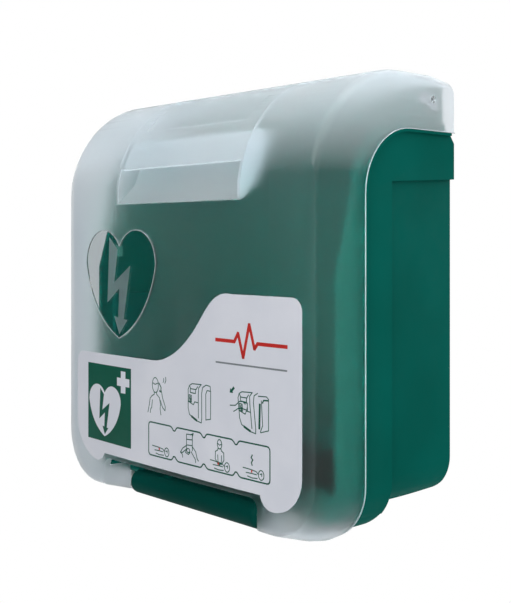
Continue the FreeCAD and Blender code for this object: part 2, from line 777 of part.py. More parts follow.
def alarm_cells():
    x, y = ALARM_CENTRE
    z = TRAY_FLOOR_Z - BOARD_DROP - BOARD_THICK - CELL_R - 0.2
    x_low = x - ALARM_HALF + ALARM_WALL + 1
    apart = CELL_R + CELL_GAP / 2
    cells = [rod_x(CELL_R, x_low, x_low + CELL_LONG, (y + side * apart, z)) for side in (-1, 1)]
    return Part.makeCompound(cells)


def alarm_sounder():
    x, y = ALARM_CENTRE
    z = TRAY_FLOOR_Z - BOARD_DROP - BOARD_THICK - SOUNDER_HIGH
    body = Part.makeCylinder(SOUNDER_R, SOUNDER_HIGH, Vector(x + SOUNDER_X, y, z))
    mouth = Part.makeCylinder(SOUNDER_MOUTH_R, 3, Vector(x + SOUNDER_X, y, z - 1))
    return body.cut(mouth)


def alarm_lens(radius=LENS_R - 0.05):
    x, y = ALARM_CENTRE
    front = y - ALARM_DEEP / 2
    z = TRAY_FLOOR_Z - ALARM_HIGH / 2
    return rod_y(radius, front - LENS_OUT, front + ALARM_WALL + 1, x + 30, z)


def reed_switch():
    wall = SIDE_HALF - BASE_WALL
    thick, wide, high = REED
    y, z = REED_AT
    case = box((-wall, -wall + thick), (y - wide / 2, y + wide / 2), (z - high / 2, z + high / 2))
    corners = [edge for edge in case.Edges if edge.BoundBox.XLength > 1]
    return case.makeFillet(1, corners)


def cover_magnet():
    inner = HALF - WALL
    return rod_x(MAGNET_R, -inner, -inner + MAGNET_THICK, REED_AT)


def place(shape):
    moved = shape.copy()
    moved.translate(Vector(0, -DEPTH, -SCREW_CENTRE_Z))
    return moved


def save(name, shape):
    os.makedirs("parts", exist_ok=True)
    if not shape.isValid():
        print("not valid:", name)
    place(shape).exportStep(os.path.join("parts", name + ".step"))


PIECES = {
    "base_shell": base_shell,
    "lower_bar": lower_bar,
    "hinge_arms": hinge_arms,
    "hinge_arm_screws": arm_screws,
    "hinge_pins": hinge_pins,
    "hinge_bushes": hinge_bushes,
    "snap_clips": snap_clips,
    "snap_clip_screws": clip_screws,
    "snap_studs": snap_studs,
    "device_tray": device_tray,
    "device_tray_screws": tray_screws,
    "alarm_case": alarm_case,
    "alarm_lid": alarm_lid,
    "alarm_board": alarm_board,
    "alarm_cells": alarm_cells,
    "alarm_sounder": alarm_sounder,
    "alarm_lens": alarm_lens,
    "alarm_screws": alarm_screws,
    "reed_switch": reed_switch,
    "cover_shell": cover_shell,
    "handle_insert": handle_insert,
    "heart_window": heart_window,
    "cover_label": cover_label,
    "cover_magnet": cover_magnet,
}

for name, make in PIECES.items():
    save(name, make())
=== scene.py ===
import json
import math

import bmesh
import bpy
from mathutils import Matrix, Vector


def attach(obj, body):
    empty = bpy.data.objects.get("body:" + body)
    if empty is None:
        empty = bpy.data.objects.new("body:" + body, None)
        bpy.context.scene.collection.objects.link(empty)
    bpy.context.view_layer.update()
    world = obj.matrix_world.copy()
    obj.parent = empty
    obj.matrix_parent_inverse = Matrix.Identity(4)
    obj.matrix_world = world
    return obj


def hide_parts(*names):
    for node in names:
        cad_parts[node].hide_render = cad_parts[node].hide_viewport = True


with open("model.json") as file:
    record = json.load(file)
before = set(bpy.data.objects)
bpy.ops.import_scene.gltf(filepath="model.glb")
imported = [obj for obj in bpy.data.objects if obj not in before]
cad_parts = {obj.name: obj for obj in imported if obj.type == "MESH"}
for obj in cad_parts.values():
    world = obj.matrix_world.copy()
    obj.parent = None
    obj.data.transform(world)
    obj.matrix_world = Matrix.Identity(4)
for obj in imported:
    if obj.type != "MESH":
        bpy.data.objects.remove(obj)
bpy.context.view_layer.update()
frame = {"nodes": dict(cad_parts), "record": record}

NODES = frame["nodes"]

RECORD = frame["record"]
BODIES = {
    node: body for body, nodes in RECORD["behaviour"]["bodies"].items() for node in nodes
}

# The cover is measured in millimetres: X runs across, Y back from its front and Z up from the foot
# of the front. place() moves a point from there into the row's frame, in metres.
DEPTH = 201.0
SCREW_Z = 225.0
HALF = 194.0
CROWN = 3.9                      # the front's middle stands this far before its sides
CROWN_R = HALF ** 2 / (2 * CROWN)


def place(x, y, z):
    return Vector((x, y - DEPTH, z - SCREW_Z)) / 1000


def front_y(x):
    """Depth of the crowned front at x."""
    return CROWN_R - math.sqrt(CROWN_R ** 2 - x ** 2)


# ---------------------------------------------------------------- materials

def srgb(red, green, blue):
    """Linear colour, with full alpha, from an sRGB one in 0 to 255."""
    def linear(value):
        share = value / 255
        return share / 12.92 if share <= 0.04045 else ((share + 0.055) / 1.055) ** 2.4

    return (linear(red), linear(green), linear(blue), 1.0)


class Finish:
    """A material being wired up round one Principled shader."""

    def __init__(self, name, **values):
        self.material = bpy.data.materials.new(name)
        self.material.use_nodes = True
        self.tree = self.material.node_tree
        self.shader = self.tree.nodes["Principled BSDF"]
        self.output = self.tree.nodes["Material Output"]
        self.place = self.add("TexCoord").outputs["Object"]
        for key, value in values.items():
            self.shader.inputs[key.replace("_", " ")].default_value = value

    def add(self, kind, **values):
        node = self.tree.nodes.new("ShaderNode" + kind)
        for key, value in values.items():
            setattr(node, key, value)
        return node

    def link(self, source, target):
        self.tree.links.new(source, target)

    def noise(self, scale, detail, stretch=(1, 1, 1)):
        mapping = self.add("Mapping")
        mapping.inputs["Scale"].default_value = stretch
        self.link(self.place, mapping.inputs["Vector"])
        node = self.add("TexNoise")
        node.inputs["Scale"].default_value = scale
        node.inputs["Detail"].default_value = detail
        self.link(mapping.outputs["Vector"], node.inputs["Vector"])
        return node.outputs["Fac"]

    def span(self, source, low, high, start=0.3, end=0.7):
        """The source's range start to end, stretched to low to high."""
        node = self.add("MapRange")
        node.inputs["From Min"].default_value = start
        node.inputs["From Max"].default_value = end
        node.inputs["To Min"].default_value = low
        node.inputs["To Max"].default_value = high
        self.link(source, node.inputs["Value"])
        return node.outputs["Result"]

    def times(self, first, second):
        node = self.add("Math", operation="MULTIPLY")
        self.link(first, node.inputs[0])
        self.link(second, node.inputs[1])
        return node.outputs["Value"]

    def tint(self, source, first, second):
        """Colour that drifts from first to second over the middle of the source's range."""
        node = self.add("ValToRGB")
        low, high = node.color_ramp.elements
        low.position, low.color = 0.35, first
        high.position, high.color = 0.65, second
        self.link(source, node.inputs["Fac"])
        return node.outputs["Color"]

    def colour(self, source):
        self.link(source, self.shader.inputs["Base Color"])

    def rough(self, source, low, high):
        self.link(self.span(source, low, high), self.shader.inputs["Roughness"])

    def bump(self, source, strength, distance):
        node = self.add("Bump")
        node.inputs["Strength"].default_value = strength
        node.inputs["Distance"].default_value = distance
        self.link(source, node.inputs["Height"])
        self.link(node.outputs["Normal"], self.shader.inputs["Normal"])

    def let_lamps_through(self, colour):
        """Rays from lamps pass, so that what is behind is lit."""
        path = self.add("LightPath")
        clear = self.add("BsdfTransparent")
        clear.inputs["Color"].default_value = colour
        mix = self.add("MixShader")
        self.link(path.outputs["Is Shadow Ray"], mix.inputs["Fac"])
        self.link(self.shader.outputs["BSDF"], mix.inputs[1])
        self.link(clear.outputs["BSDF"], mix.inputs[2])
        self.link(mix.outputs["Shader"], self.output.inputs["Surface"])


def moulded(name, dark, light, rough=(0.36, 0.46), grain=0.12, specular=0.25):
    """Injection moulded plastic: a fine spark-eroded grain and a slight drift in colour."""
    finish = Finish(name, Specular_IOR_Level=specular)
    finish.colour(finish.tint(finish.noise(9.0, 2.0), dark, light))
    finish.rough(finish.noise(60.0, 4.0), *rough)
    finish.bump(finish.noise(1400.0, 2.0), grain, 0.0003)
    return finish.material


# Where the closed cover's look changes, as (start, end) in metres in the row's frame.
MILKY_Z = (0.18, 0.1)
# The painted green tint, standing in for the green base seen through the closed cover, fades in over
# these spans.
PAINTED_TINT_BELOW_Z = (0.125, 0.055)
PAINTED_TINT_RIGHT_OF_X = (-0.175, -0.115)
PAINTED_TINT_ABOVE_Z = (-0.215, -0.165)
MILKY_PASSING = 0.74
# Painted light: the tint mixed into the cover's colour where the base would show through it.
PAINTED_GREEN_SHOW_THROUGH = (0.88, 1.0, 0.985, 1)


def frosted(name, passing=1.0, zoned=False):
    """Polycarbonate with a fine etched grain: light passes, shapes behind it blur.

    A zoned one is milkier toward the top of the dome. It also has a painted green tint where the
    base stands behind the closed cover, in place of the base's green seen through it. Both are set
    for the look and stay when the cover opens.
    """
    finish = Finish(
        name, Transmission_Weight=passing, IOR=1.12, Specular_IOR_Level=0.0,
        Coat_Weight=0.25, Coat_Roughness=0.22, Coat_IOR=1.4,
    )
    colour = finish.tint(finish.noise(6.0, 2.0), srgb(236, 242, 246), srgb(243, 247, 250))
    if zoned:
        spot = finish.add("SeparateXYZ")
        finish.link(finish.place, spot.inputs[0])
        passing_here = finish.span(spot.outputs["Z"], MILKY_PASSING, 1.0, *MILKY_Z)
        finish.link(passing_here, finish.shader.inputs["Transmission Weight"])
        # Painted light: a green tint is mixed into the colour where the base stands behind the
        # closed cover.
        below_dome = finish.span(spot.outputs["Z"], 0.0, 1.0, *PAINTED_TINT_BELOW_Z)
        beside_edge = finish.span(spot.outputs["X"], 0.0, 1.0, *PAINTED_TINT_RIGHT_OF_X)
        above_chin = finish.span(spot.outputs["Z"], 0.0, 1.0, *PAINTED_TINT_ABOVE_Z)
        share = finish.times(finish.times(below_dome, beside_edge), above_chin)
        mix = finish.add("Mix", data_type="RGBA")
        finish.link(share, mix.inputs["Factor"])
        finish.link(colour, mix.inputs[6])
        mix.inputs[7].default_value = PAINTED_GREEN_SHOW_THROUGH
        colour = mix.outputs[2]
    finish.colour(colour)
    finish.rough(finish.noise(40.0, 3.0), 0.84, 0.92)
    finish.bump(finish.noise(1800.0, 2.0), 0.05, 0.0002)
    finish.let_lamps_through((0.80, 0.83, 0.84, 1))
    return finish.material


def clear(name):
    """Polished polycarbonate with faint flow marks."""
    finish = Finish(name, Transmission_Weight=1.0, IOR=1.45)
    finish.colour(finish.tint(finish.noise(5.0, 1.0), srgb(240, 246, 246), srgb(250, 253, 253)))
    finish.rough(finish.noise(30.0, 2.0), 0.03, 0.06)
    finish.let_lamps_through((0.9, 0.93, 0.93, 1))
    return finish.material


def paper(name, dark, light):
    """Printed vinyl film: faint orange peel and mottling."""
    finish = Finish(name, Specular_IOR_Level=0.3)
    finish.colour(finish.tint(finish.noise(14.0, 4.0), dark, light))
    finish.rough(finish.noise(120.0, 3.0), 0.32, 0.42)
    finish.bump(finish.noise(700.0, 2.0), 0.04, 0.0002)
    return finish.material


def metal(name, dark, light):
    """Drawn or turned metal with fine streaks."""
    finish = Finish(name, Metallic=1.0)
    streaks = finish.noise(400.0, 4.0, (0.08, 1, 1))
    finish.colour(finish.tint(streaks, dark, light))
    finish.rough(streaks, 0.22, 0.38)
    finish.bump(streaks, 0.08, 0.0002)
    return finish.material


GREEN = moulded("green_abs", srgb(0, 90, 80), srgb(0, 98, 88), (0.5, 0.6), 0.12, 0.02)
LINER = moulded("green_liner", srgb(0, 92, 84), srgb(0, 100, 92), (0.5, 0.6), 0.1, 0.02)
# Painted shade: the same green plastic, made darker for the lower bar in place of the shadow under
# the cover's chin.
SHADED_GREEN = moulded("green_bar_painted_shade", srgb(0, 64, 57), srgb(0, 70, 63), (0.45, 0.55), 0.1, 0.04)
FROST = frosted("frosted_polycarbonate", zoned=True)
HANDLE = frosted("frosted_handle", 0.8)
BOLT = frosted("etched_polycarbonate", 0.97)
# Painted highlight: a bright, glossy moulding for the beads and lines that stand in for light caught
# at the cover's edges.
EDGE_HIGHLIGHT = moulded("painted_edge_highlight", srgb(196, 204, 208), srgb(212, 219, 223), (0.1, 0.2), 0.02, 0.5)
INK = paper("green_ink", srgb(0, 84, 66), srgb(6, 92, 74))
RED_INK = paper("red_ink", srgb(190, 40, 36), srgb(204, 52, 46))
GREY_INK = paper("grey_ink", srgb(120, 128, 134), srgb(134, 141, 146))
CLEAR = clear("clear_polycarbonate")
VINYL = paper("white_vinyl", srgb(220, 224, 234), srgb(228, 231, 240))
STEEL = metal("bright_steel", srgb(175, 177, 180), srgb(215, 217, 220))
NYLON = moulded("nylon", srgb(214, 210, 198), srgb(228, 224, 212), (0.4, 0.5), 0.05)
ALARM = moulded("alarm_plastic", srgb(205, 208, 206), srgb(219, 221, 219))
BOARD = moulded("solder_mask", srgb(14, 80, 40), srgb(22, 98, 52), (0.2, 0.3), 0.05)
SLEEVE = moulded("cell_sleeve", srgb(34, 35, 40), srgb(48, 50, 56), (0.15, 0.25), 0.03)
BLACK = moulded("black_plastic", srgb(20, 20, 21), srgb(34, 34, 35))
PALE = moulded("pale_plastic", srgb(70, 140, 128), srgb(84, 152, 140))

NODE_FINISH = {
    "base_shell": GREEN,
    "lower_bar": SHADED_GREEN,
    "hinge_arms": GREEN,
    "device_tray": LINER,
    "hinge_arm_screws": STEEL,
    "hinge_pins": STEEL,
    "snap_clips": STEEL,
    "snap_clip_screws": STEEL,
    "device_tray_screws": STEEL,
    "alarm_screws": STEEL,
    "cover_magnet": STEEL,
    "hinge_bushes": NYLON,
    "snap_studs": CLEAR,
    "heart_window": CLEAR,
    "alarm_lens": CLEAR,
    "cover_shell": FROST,
    "handle_insert": HANDLE,
    "cover_label": VINYL,
    "alarm_case": ALARM,
    "alarm_lid": ALARM,
    "alarm_board": BOARD,
    "alarm_cells": SLEEVE,
    "alarm_sounder": BLACK,
    "reed_switch": PALE,
}

for name, finish in NODE_FINISH.items():
    mesh = NODES[name].data
    mesh.materials.clear()
    mesh.materials.append(finish)


# ---------------------------------------------------------------- refined copies of CAD pieces

EDGE_ROUND = 0.5                 # width of the rounded edges
EDGE_ANGLE = math.radians(32)    # an edge sharper than this is rounded
FLAT_ANGLE = math.radians(0.4)   # facets closer than this are one face
TINY = 1e-6                      # lengths below this count as none


def refined(node):
    """A copy of the CAD piece with its sharp edges rounded, shown in its place."""
    mesh = NODES[node].data.copy()
    form = bmesh.new()
    form.from_mesh(mesh)
    bmesh.ops.remove_doubles(form, verts=form.verts, dist=TINY)
    bmesh.ops.dissolve_limit(
        form, angle_limit=FLAT_ANGLE, verts=form.verts, edges=form.edges, delimit={"SHARP"},
    )
    form.to_mesh(mesh)
    form.free()
    copy = bpy.data.objects.new(node + "_visual", mesh)
    bpy.context.scene.collection.objects.link(copy)
    mesh.shade_smooth()
    mesh.set_sharp_from_angle(angle=EDGE_ANGLE)
    bevel = copy.modifiers.new("edges", "BEVEL")
    bevel.width = EDGE_ROUND / 1000
    bevel.segments = 2
    bevel.limit_method = "ANGLE"
    bevel.angle_limit = EDGE_ANGLE
    bevel.harden_normals = True
    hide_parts(node)
    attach(copy, BODIES[node])


for name in ("base_shell", "cover_shell", "handle_insert"):
    refined(name)


# ---------------------------------------------------------------- print on the cover's front

SLICE = 6.0                      # the print is cut this finely, so that it follows the crown
LABEL_THICK = 0.3
# How far the faces of the print stand off the front, from the first layer to the last.
FIRST_LAYER = LABEL_THICK + 0.05
DOT_LAYER = LABEL_THICK + 0.08
SECOND_LAYER = LABEL_THICK + 0.10
THIRD_LAYER = LABEL_THICK + 0.15


def arc(start, middle, end, count=12):
    """Points of the circle through three points, from start up to but not including end."""
    (ax, az), (bx, bz), (cx, cz) = start, middle, end
    turn = 2 * (ax * (bz - cz) + bx * (cz - az) + cx * (az - bz))
    a2, b2, c2 = ax ** 2 + az ** 2, bx ** 2 + bz ** 2, cx ** 2 + cz ** 2
    x = (a2 * (bz - cz) + b2 * (cz - az) + c2 * (az - bz)) / turn
    z = (a2 * (cx - bx) + b2 * (ax - cx) + c2 * (bx - ax)) / turn
    first, middle_turn, last = [math.atan2(p[1] - z, p[0] - x) for p in (start, middle, end)]
    full = 2 * math.pi
    if (middle_turn - first) % full > (last - first) % full:
        sweep = (last - first) % full - full
    else:
        sweep = (last - first) % full
    radius = math.dist(start, (x, z))
    return [
        (x + radius * math.cos(first + sweep * i / count),
         z + radius * math.sin(first + sweep * i / count))
        for i in range(count)
    ]


def heart(x, tip_z, top_z, half):
    """Heart outline in the proportions of the window: two round lobes over a point."""
    high = top_z - tip_z
    wide_z = tip_z + 0.684 * high
    cleft = (x, tip_z + 0.851 * high)
    tip = (x, tip_z)
    right, left = (x + half, wide_z), (x - half, wide_z)
    flank_z = tip_z + 0.316 * high
    return (
        arc(tip, (x + 0.72 * half, flank_z), right)
        + arc(right, (x + half / 2, top_z), cleft)
        + arc(cleft, (x - half / 2, top_z), left)
        + arc(left, (x - 0.72 * half, flank_z), tip)
    )


BOLT_SHAPE = (
    (-0.28, 0.93), (-0.045, 0.82), (-0.15, 0.51), (0.31, 0.67), (0.13, 0.18), (0.23, 0.175),
    (0.01, 0.04), (-0.135, 0.2), (-0.02, 0.19), (0.01, 0.465), (-0.34, 0.325),
)


def bolt(x, tip_z, top_z, half):
    """Lightning bolt with an arrow head, in the same proportions to its heart."""
    return [(x + u * half, tip_z + v * (top_z - tip_z)) for u, v in BOLT_SHAPE]


def printed(name, outlines, finish, lift, thick=0.06):
    """Thin solid shapes lying on the front. lift is how far their faces stand off it."""
    form = bmesh.new()
    for outline in outlines:
        form.faces.new([form.verts.new((x, 0, z)) for x, z in outline])
    low = min(vert.co.x for vert in form.verts)
    high = max(vert.co.x for vert in form.verts)
    for step in range(1, int((high - low) / SLICE) + 1):
        cut = (low + step * SLICE, 0, 0)
        parts = form.verts[:] + form.edges[:] + form.faces[:]
        bmesh.ops.bisect_plane(form, geom=parts, plane_co=cut, plane_no=(1, 0, 0))
    bmesh.ops.triangulate(form, faces=form.faces[:], ngon_method="EAR_CLIP")
    bmesh.ops.recalc_face_normals(form, faces=form.faces[:])
    flipped = [face for face in form.faces if face.normal.y > 0]
    bmesh.ops.reverse_faces(form, faces=flipped)
    back = bmesh.ops.extrude_face_region(form, geom=form.faces[:], use_keep_orig=True)
    rear = [item for item in back["geom"] if isinstance(item, bmesh.types.BMVert)]
    rear_faces = [item for item in back["geom"] if isinstance(item, bmesh.types.BMFace)]
    for vert in rear:
        vert.co.y = thick
    bmesh.ops.reverse_faces(form, faces=rear_faces)
    bmesh.ops.recalc_face_normals(form, faces=form.faces[:])
    for vert in form.verts:
        x, y, z = vert.co
        vert.co = place(x, front_y(x) - lift + y, z)
    mesh = bpy.data.meshes.new(name)
    form.to_mesh(mesh)
    form.free()
    mesh.materials.append(finish)
    piece = bpy.data.objects.new(name, mesh)
    bpy.context.scene.collection.objects.link(piece)
    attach(piece, "cover")


def stroke(points, width, closed=False):
    """Quads that make a line of even width through the points, back to the first if closed."""
    if closed:
        points = list(points) + [points[0]]
    quads = []
    for (ax, az), (bx, bz) in zip(points, points[1:]):
        long = math.dist((ax, az), (bx, bz))
        if long < TINY:
            continue
        along_x, along_z = (bx - ax) / long * width / 2, (bz - az) / long * width / 2
        ax, az = ax - along_x / 2, az - along_z / 2
        bx, bz = bx + along_x / 2, bz + along_z / 2
        quads.append([
            (ax - along_z, az + along_x), (ax + along_z, az - along_x),
            (bx + along_z, bz - along_x), (bx - along_z, bz + along_x),
        ])
    return quads


def round_corners(points, radius, count=4):
    """The closed outline with each corner cut by a short arc."""
    out = []
    total = len(points)
    for i, here in enumerate(points):
        before, after = points[i - 1], points[(i + 1) % total]
        reach = min(radius, math.dist(before, here) / 2, math.dist(here, after) / 2)
        ends = []
        for other in (before, after):
            share = reach / math.dist(here, other)
            ends.append((here[0] + (other[0] - here[0]) * share,
                         here[1] + (other[1] - here[1]) * share))
        for step in range(count + 1):
            t = step / count
            out.append(tuple(
                (1 - t) ** 2 * ends[0][k] + 2 * t * (1 - t) * here[k] + t ** 2 * ends[1][k]
                for k in (0, 1)
            ))
    return out


def cross(x, z, reach, half):
    return [
        (x - half, z + reach), (x + half, z + reach), (x + half, z + half), (x + reach, z + half),
        (x + reach, z - half), (x + half, z - half), (x + half, z - reach), (x - half, z - reach),
        (x - half, z - half), (x - reach, z - half), (x - reach, z + half), (x - half, z + half),
    ]


def oval(x, z, wide, high, count=14):
    return [
        (x + wide * math.cos(2 * math.pi * i / count), z + high * math.sin(2 * math.pi * i / count))
        for i in range(count)
    ]


# Hearts, as the place of the tip across, the heights of tip and top, and half the width.
SIGN_HEART = (-121.5, 54.5, 109.5, 31.0)
WINDOW_HEART = (-94.0, 162.0, 276.0, 65.0)
# Line widths of the drawings.
THIN = 0.95
BOLD = 1.4
FOOT_LINE = 2.2
GAP_LINE = 2.4


def sign():
    """Green square with a white heart, a bolt in it and a cross."""
    square = [(-155.0, 49.0), (-71.5, 48.5), (-71.5, 131.5), (-155.0, 131.5)]
    printed("sign_ground", [square], INK, FIRST_LAYER)
    whites = [heart(*SIGN_HEART), cross(-86.0, 116.0, 11.5, 4.3)]
    printed("sign_white", whites, VINYL, SECOND_LAYER)
    printed("sign_bolt", [bolt(*SIGN_HEART)], INK, THIRD_LAYER)


def cell_box():
    """Box of four cells; small notches in its frame mark where one ends and the next starts."""
    top, low, left, right = 81.3, 48.0, -40.0, 139.0
    borders = (2.6, 48.3, 94.3)
    points = [(left, low), (left, top)]
    for x in borders:
        points += [(x - 5, top), (x - 1.2, top - 4), (x + 1.2, top - 4), (x + 4, top)]
    points += [(right, top), (right, low)]
    for x in reversed(borders):
        points += [(x + 5, low), (x + 1.2, low + 4), (x - 1.2, low + 4), (x - 4, low)]
    return stroke(round_corners(points, 4.0, 3), BOLD, closed=True)


def lying_person(x, z):
    """Head, shoulders and arm of someone lying on the ground."""
    lines = stroke(oval(x, z, 3.6, 4.4), THIN, closed=True)
    lines += stroke([(x - 1.6, z + 0.6), (x + 0.9, z + 1.6), (x + 0.6, z - 0.8)], THIN)
    lines += stroke([(x - 24, z + 3.6), (x - 14, z + 3.2), (x - 6.5, z + 2.4), (x - 3.6, z)], THIN)
    lines += stroke([(x - 20, z - 0.4), (x - 12, z - 0.2), (x - 6, z - 0.4)], THIN)
    lines += stroke([(x - 18, z - 3.4), (x - 12, z - 4.2), (x - 5, z - 3.6)], THIN)
    return lines


def hands_at_work():
    """Two hands that open a small case."""
    lines = stroke([(22, 61), (22, 77), (31, 77.5), (31, 62)], THIN)
    lines += stroke([(22, 72), (31, 72.5)], THIN)
    lines += stroke([(22, 66.5), (31, 67)], THIN)
    lines += stroke([(28, 77), (32.5, 79), (31, 75.5)], THIN)
    lines += stroke([(22, 66), (16, 62.5), (12.5, 58), (15.5, 56.5), (16, 53.5)], THIN)
    lines += stroke([(12.5, 58), (16, 58.4), (22, 62.5), (20.5, 59), (25, 57.6), (27.5, 60)], THIN)
    lines += stroke([(31, 66), (36, 62), (38.5, 55), (40.5, 53.6)], THIN)
    lines += stroke([(29, 61), (32, 58), (35.5, 54.5), (36, 51.5)], THIN)
    lines += stroke(oval(24.6, 61.4, 2.4, 2.0, 10), THIN, closed=True)
    return lines


def kneeling_person():
    """Someone kneeling behind the person on the ground, with both arms down."""
    lines = stroke(oval(71.2, 74.2, 3.2, 4.4), THIN, closed=True)
    lines += stroke([(68.2, 75), (71, 73.4), (74.2, 74.6)], THIN)
    lines += stroke([(69, 70), (68.6, 68.4), (65.4, 66.8), (65, 60), (68.6, 55.6)], THIN)
    lines += stroke([(73.4, 70), (73.8, 68.4), (77.2, 66.8), (77.4, 60), (74, 55.6)], THIN)
    lines += stroke([(68.6, 64), (69, 58), (71.4, 54.4), (73.8, 58), (74, 64)], THIN)
    lines += stroke([(68.4, 56), (74.6, 56)], THIN)
    return lines


def caller():
    """Someone with a telephone at the ear."""
    lines = stroke(oval(-28.6, 119.4, 5.2, 7.6), THIN, closed=True)
    lines += stroke([(-33.4, 121.4), (-29, 120), (-23.8, 122)], THIN)
    lines += stroke([(-30.6, 112.2), (-30.4, 110), (-34.4, 108), (-37.4, 105.4)], THIN)
    lines += stroke([(-37.4, 105.4), (-38.8, 99), (-40, 95), (-41.4, 90.6)], THIN)
    lines += stroke([(-33.6, 104), (-34.8, 96.4), (-36.4, 94.6), (-37.4, 90.6)], THIN)
    lines += stroke([(-26.6, 112.4), (-26.2, 110.2), (-21.8, 107.4), (-20, 101)], THIN)
    lines += stroke([(-20.4, 105), (-16.4, 98), (-12.4, 95.4), (-12, 99.4)], THIN)
    lines += stroke([(-12, 99.4), (-16.6, 108), (-18.6, 115)], THIN)
    lines += stroke([(-20, 101), (-20.6, 96), (-19.2, 90.4)], THIN)
    lines += stroke([(-22.4, 122), (-19, 118), (-19.4, 113.4), (-21.8, 114.4)], BOLD)
    lines += stroke([(-15.6, 123.4), (-14.4, 125.4), (-14.8, 127.6)], THIN)
    lines += stroke([(-12.8, 122.6), (-11, 125.6), (-11.4, 129)], THIN)
    return lines


def small_cabinet(x, z, lean=0.0):
    """The cabinet's cover in outline, drawn from (x, z) at its foot and leaning to the left."""
    def at(u, v):
        return (x + u - lean * v, z + v)

    def line(*points, width=THIN, closed=False):
        return stroke([at(*point) for point in points], width, closed)

    lines = line((-22, 6), (-24, 12), (-24, 30), (-22, 34), (-18, 36), (-4, 36.6))
    lines += line((-4, 36.6), (-8, 33), (-8.6, 26), (-8.4, 4))
    lines += line((-22, 6), (-10, 1), (-4, 0), (-3.4, 4), (-3.6, 28), (-2, 34), (3, 36.8))
    lines += line((-24, 18.6), (-16, 16), (-14, 19), (-9, 18.6))
    lines += line((-22, 34), (-20, 31), (-12, 31), (-9.4, 34))
    lines += line((-20.6, 31), (-20.8, 27.4), (-13, 27), (-12.4, 31))
    lines += line((-22.6, 25), (-19, 24.6), (-19, 18.4), (-22.6, 18.2), closed=True)
    lines += line((-20.6, 23.6), (-21.2, 21.4), (-20, 21.2), (-20.8, 18.8), width=BOLD)
    lines += line((-18.6, 4.4), (-11, 1.4), width=FOOT_LINE)
    return lines


def cabinets():
    """The cabinet closed, and again with a hand that pulls its cover open."""
    lines = small_cabinet(48.6, 90.8)
    lines += stroke([(51.6, 127.6), (57.6, 127), (58.4, 122), (58.2, 96), (51, 94.4)], THIN)
    lines += stroke([(51.4, 94.4), (51.2, 119), (53.2, 122.6), (58.2, 122.4)], THIN)
    lines += small_cabinet(124.6, 90.8, 0.12)
    lines += stroke([(124, 125), (134.6, 125.6), (137.2, 123.6), (137.2, 95.6), (127, 92.6)], THIN)
    lines += stroke([(128, 121.4), (129.6, 99), (126.6, 93)], THIN)
    lines += stroke([(126, 118), (125.4, 96)], GAP_LINE)
    lines += stroke([(129.4, 119.4), (131, 122), (137, 122.4)], BOLD)
    lines += stroke([(86, 112.6), (93.6, 113.4), (99, 117.6), (105.6, 118), (106.6, 115.6)], THIN)
    lines += stroke([(91, 107.4), (97.4, 111), (103.6, 111.4), (108.6, 110.6), (109.6, 113.4)], THIN)
    lines += stroke([(104.4, 117), (109.6, 117.2), (109.8, 110.4)], THIN)
    return lines


def arrow():
    """Arrow head that points the way the cover opens."""
    return [[(85.6, 124.2), (90.4, 124.4), (89.4, 125.6), (92.6, 128.8), (90.8, 130.6),
             (87.6, 127.4), (86.2, 128.6)]]


def drawings():
    """Line drawings of what to do: call, open the cabinet, use what is inside."""
    lines = cell_box() + hands_at_work() + kneeling_person() + caller() + cabinets() + arrow()
    heads = ((-9.6, 54.4), (81.8, 54.2), (127.8, 54.4))
    for x, z in heads:
        lines += lying_person(x, z)
    lines += stroke([(116.2, 71), (114.6, 68.4), (116.8, 66.6), (115, 64), (116, 61.6)], BOLD)
    printed("drawings", lines, INK, FIRST_LAYER)
    dots = [oval(x - 12.4, z + 1.6, 1.0, 1.3, 8) for x, z in heads]
    printed("drawing_dots", dots, RED_INK, DOT_LAYER)


def emblem():
    """Generic red pulse line with a grey rule below it, where a maker would put its name."""
    pulse = [
        (66, 172), (92, 172), (97, 180), (104, 158), (112, 189), (119, 167), (123, 172), (160, 172),
    ]
    printed("emblem", stroke(pulse, 3.4), RED_INK, FIRST_LAYER)
    printed("emblem_rule", stroke([(66, 151), (160, 151)], 1.6), GREY_INK, FIRST_LAYER)


BEAD_R = 0.45


def bead(name, points):
    """Round bead in the bright painted edge highlight, through points given in the cover's measure.
    """
    data = bpy.data.curves.new(name, "CURVE")
    data.dimensions = "3D"
    data.bevel_depth = BEAD_R / 1000
    data.bevel_resolution = 2
    data.use_fill_caps = True
    line = data.splines.new("POLY")
    line.points.add(len(points) - 1)
    for spot, point in zip(line.points, points):
        spot.co = (*place(*point), 1)
    data.materials.append(EDGE_HIGHLIGHT)
    piece = bpy.data.objects.new(name, data)
    bpy.context.scene.collection.objects.link(piece)
    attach(piece, "cover")


RIM_Y = 68.0
RIM_ARC_R = 63.0
EAR_Z = 370.0
CHIN_CORNER_R = 54.0
CHIN_RIM_Z = -9.5
NOTCH_X = 123.0
RIM_INSET = 0.9                  # the bead runs this far inside the cover's outside
ARC_STEPS = 12


